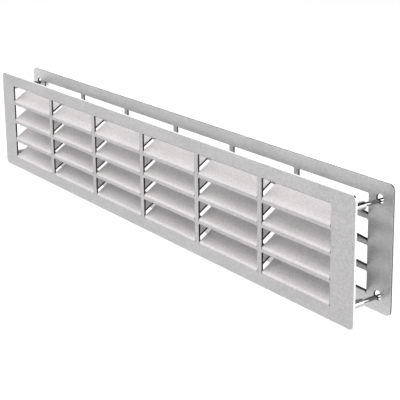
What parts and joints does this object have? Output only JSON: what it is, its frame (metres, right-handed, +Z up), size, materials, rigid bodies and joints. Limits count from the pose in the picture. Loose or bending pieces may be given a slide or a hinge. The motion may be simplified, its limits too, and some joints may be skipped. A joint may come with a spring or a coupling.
{
  "type": "louvred air grille",
  "caption": "Two long louvred metal plates joined by corner sleeve bolts, to clamp either side of a door and let air through it.",
  "frame": {"origin": "on the standing surface, under the middle of the bounding box of the whole object", "axes": "+Z up, the front plate's outer face looks along -Y, and +X is to the right of someone facing it; the door's thickness and the bolts lie along Y"},
  "size_m": [0.49, 0.0452, 0.092],
  "materials": {
    "plate": "fine brushed",
    "sleeve": "polished",
    "washer": "bright zinc plated",
    "screw": "polished"
  },
  "bodies": {
    "front": {"front_plate": "plate", "sleeve_top_left": "sleeve", "sleeve_top_right": "sleeve", "sleeve_bottom_left": "sleeve", "sleeve_bottom_right": "sleeve"},
    "rear": {"rear_plate": "plate"},
    "washer_top_left": {"washer_top_left": "washer"},
    "screw_top_left": {"screw_top_left": "screw"},
    "washer_top_right": {"washer_top_right": "washer"},
    "screw_top_right": {"screw_top_right": "screw"},
    "washer_bottom_left": {"washer_bottom_left": "washer"},
    "screw_bottom_left": {"screw_bottom_left": "screw"},
    "washer_bottom_right": {"washer_bottom_right": "washer"},
    "screw_bottom_right": {"screw_bottom_right": "screw"}
  },
  "joints": [
    {"name": "rear_plate_slide", "type": "slide", "parent": "front", "child": "rear", "axis": [0, 1, 0], "range_m": [-0.0081, 0.0057]},
    {"name": "screw_travel_top_left", "type": "slide", "parent": "front", "child": "washer_top_left", "axis": [0, 1, 0], "range_m": [-0.0057, 0.0044]},
    {"name": "screw_turn_top_left", "type": "hinge", "parent": "washer_top_left", "child": "screw_top_left", "pos_m": [-0.233, 0.02, 0.079], "axis": [0, 1, 0], "range_deg": [-4105, 3169]},
    {"name": "screw_travel_top_right", "type": "slide", "parent": "front", "child": "washer_top_right", "axis": [0, 1, 0], "range_m": [-0.0057, 0.0044]},
    {"name": "screw_turn_top_right", "type": "hinge", "parent": "washer_top_right", "child": "screw_top_right", "pos_m": [0.233, 0.02, 0.079], "axis": [0, 1, 0], "range_deg": [-4105, 3169]},
    {"name": "screw_travel_bottom_left", "type": "slide", "parent": "front", "child": "washer_bottom_left", "axis": [0, 1, 0], "range_m": [-0.0057, 0.0044]},
    {"name": "screw_turn_bottom_left", "type": "hinge", "parent": "washer_bottom_left", "child": "screw_bottom_left", "pos_m": [-0.233, 0.02, 0.011], "axis": [0, 1, 0], "range_deg": [-4105, 3169]},
    {"name": "screw_travel_bottom_right", "type": "slide", "parent": "front", "child": "washer_bottom_right", "axis": [0, 1, 0], "range_m": [-0.0057, 0.0044]},
    {"name": "screw_turn_bottom_right", "type": "hinge", "parent": "washer_bottom_right", "child": "screw_bottom_right", "pos_m": [0.233, 0.02, 0.011], "axis": [0, 1, 0], "range_deg": [-4105, 3169]}
  ],
  "couplings": [
    {"joint": "screw_turn_top_left", "follows": "screw_travel_top_left", "rad_per_m": 12566},
    {"joint": "screw_turn_top_right", "follows": "screw_travel_top_right", "rad_per_m": 12566},
    {"joint": "screw_turn_bottom_left", "follows": "screw_travel_bottom_left", "rad_per_m": 12566},
    {"joint": "screw_turn_bottom_right", "follows": "screw_travel_bottom_right", "rad_per_m": 12566}
  ]
}
